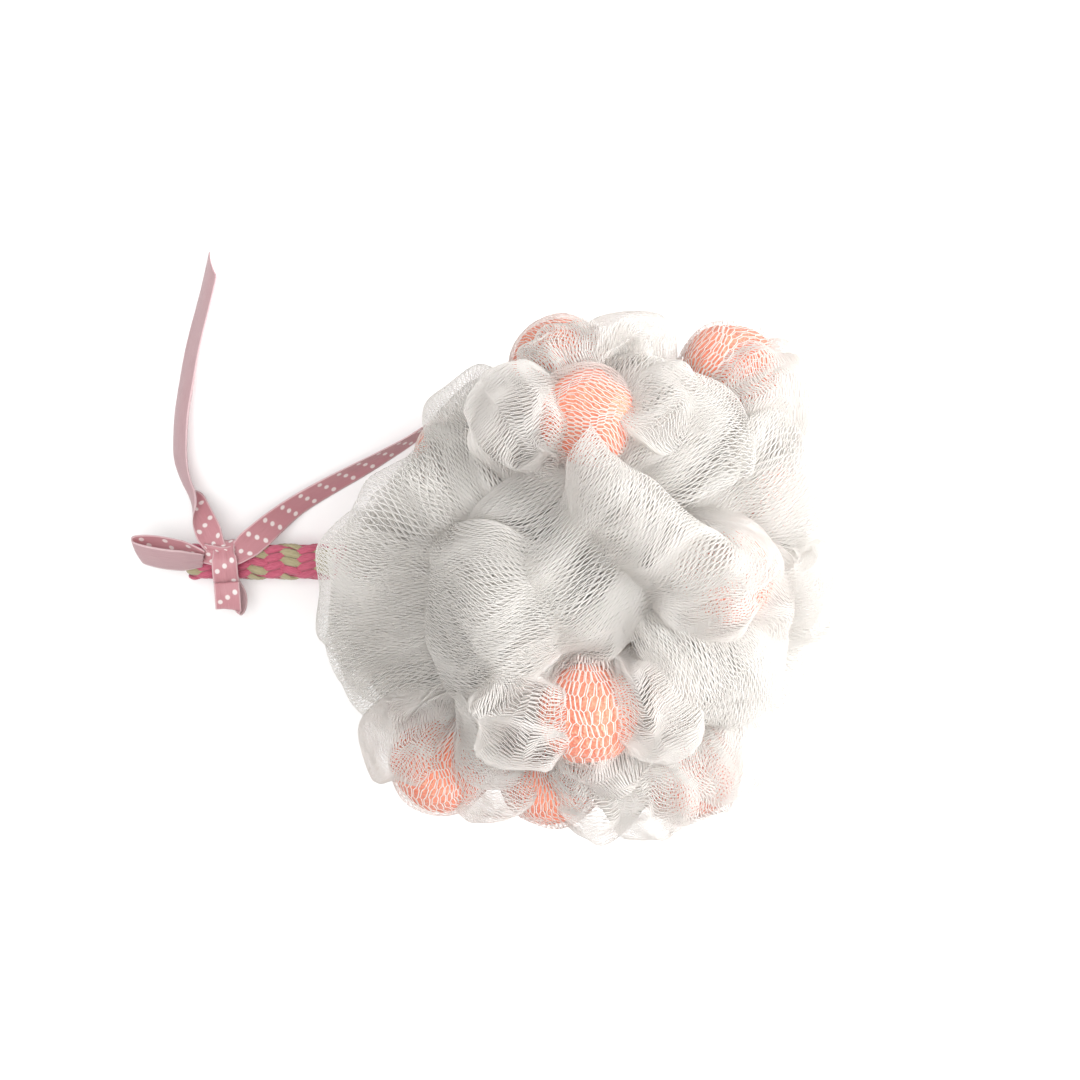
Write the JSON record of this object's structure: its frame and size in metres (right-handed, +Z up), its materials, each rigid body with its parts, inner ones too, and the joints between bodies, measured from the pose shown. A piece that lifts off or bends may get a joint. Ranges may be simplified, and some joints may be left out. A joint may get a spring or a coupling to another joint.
{
  "type": "net pouf sponge",
  "caption": "Net scrubbing pouf: white netting ruffles and foam-filled netting pouches tied at a core, with a flat braided hanging loop and a dotted ribbon bow.",
  "frame": {"origin": "on the table under the tied core, in the middle of the flattened patch that the pouf rests on", "axes": "+Z up from the table, -X towards the hanging loop, +Y along the upper ribbon tail"},
  "size_m": [0.1618, 0.1337, 0.0983],
  "materials": {
    "netting": "satin",
    "foam": "matte",
    "tie": "matte",
    "cord": "matte",
    "ribbon": "satin"
  },
  "bodies": {
    "pouf": {"net_pouch_01": "netting", "net_pouch_02": "netting", "net_pouch_03": "netting", "net_pouch_04": "netting", "net_pouch_05": "netting", "net_pouch_06": "netting", "net_pouch_07": "netting", "net_pouch_08": "netting", "net_pouch_09": "netting", "net_pouch_10": "netting", "net_pouch_11": "netting", "net_pouch_12": "netting", "net_pouch_13": "netting", "foam_lump_01": "foam", "foam_lump_02": "foam", "foam_lump_03": "foam", "foam_lump_04": "foam", "foam_lump_05": "foam", "foam_lump_06": "foam", "foam_lump_07": "foam", "foam_lump_08": "foam", "foam_lump_09": "foam", "foam_lump_10": "foam", "foam_lump_11": "foam", "foam_lump_12": "foam", "foam_lump_13": "foam", "net_ruffle_01": "netting", "net_ruffle_02": "netting", "net_ruffle_03": "netting", "net_ruffle_04": "netting", "net_ruffle_05": "netting", "net_ruffle_06": "netting", "net_ruffle_07": "netting", "net_ruffle_08": "netting", "net_ruffle_09": "netting", "net_ruffle_10": "netting", "net_ruffle_11": "netting", "net_ruffle_12": "netting", "net_ruffle_13": "netting", "net_ruffle_14": "netting", "net_ruffle_15": "netting", "net_ruffle_16": "netting", "net_ruffle_17": "netting", "net_ruffle_18": "netting", "net_ruffle_19": "netting", "net_ruffle_20": "netting", "net_ruffle_21": "netting", "net_ruffle_22": "netting", "net_ruffle_23": "netting", "net_ruffle_24": "netting", "core_gather": "netting", "core_tie": "tie", "cord_root": "cord"},
    "loop": {"cord_loop": "cord", "bow_knot": "ribbon"},
    "left_bow": {"bow_loop_left": "ribbon"},
    "lower_bow": {"bow_loop_lower": "ribbon"},
    "upper_tail": {"ribbon_tail_upper": "ribbon"},
    "right_tail": {"ribbon_tail_right": "ribbon"}
  },
  "joints": [
    {"name": "loop_swing", "type": "hinge", "parent": "pouf", "child": "loop", "pos_m": [-0.047, 0, 0.0043], "axis": [0, 0, 1], "range_deg": [-8, 30]},
    {"name": "left_bow_lift", "type": "hinge", "parent": "loop", "child": "left_bow", "pos_m": [-0.0876, 0.002, 0.01256], "axis": [0.1629, 0.9866, 0], "range_deg": [0, 35]},
    {"name": "lower_bow_lift", "type": "hinge", "parent": "loop", "child": "lower_bow", "pos_m": [-0.0824, -0.0052, 0.01216], "axis": [-0.9934, -0.115, 0], "range_deg": [0, 35]},
    {"name": "upper_tail_lift", "type": "hinge", "parent": "loop", "child": "upper_tail", "pos_m": [-0.0858, 0.0044, 0.01116], "axis": [0.8944, 0.4472, 0], "range_deg": [0, 60]},
    {"name": "right_tail_swing", "type": "hinge", "parent": "loop", "child": "right_tail", "pos_m": [-0.0788, 0.0029, 0.01116], "axis": [0, 0, 1], "range_deg": [-3, 35]}
  ]
}
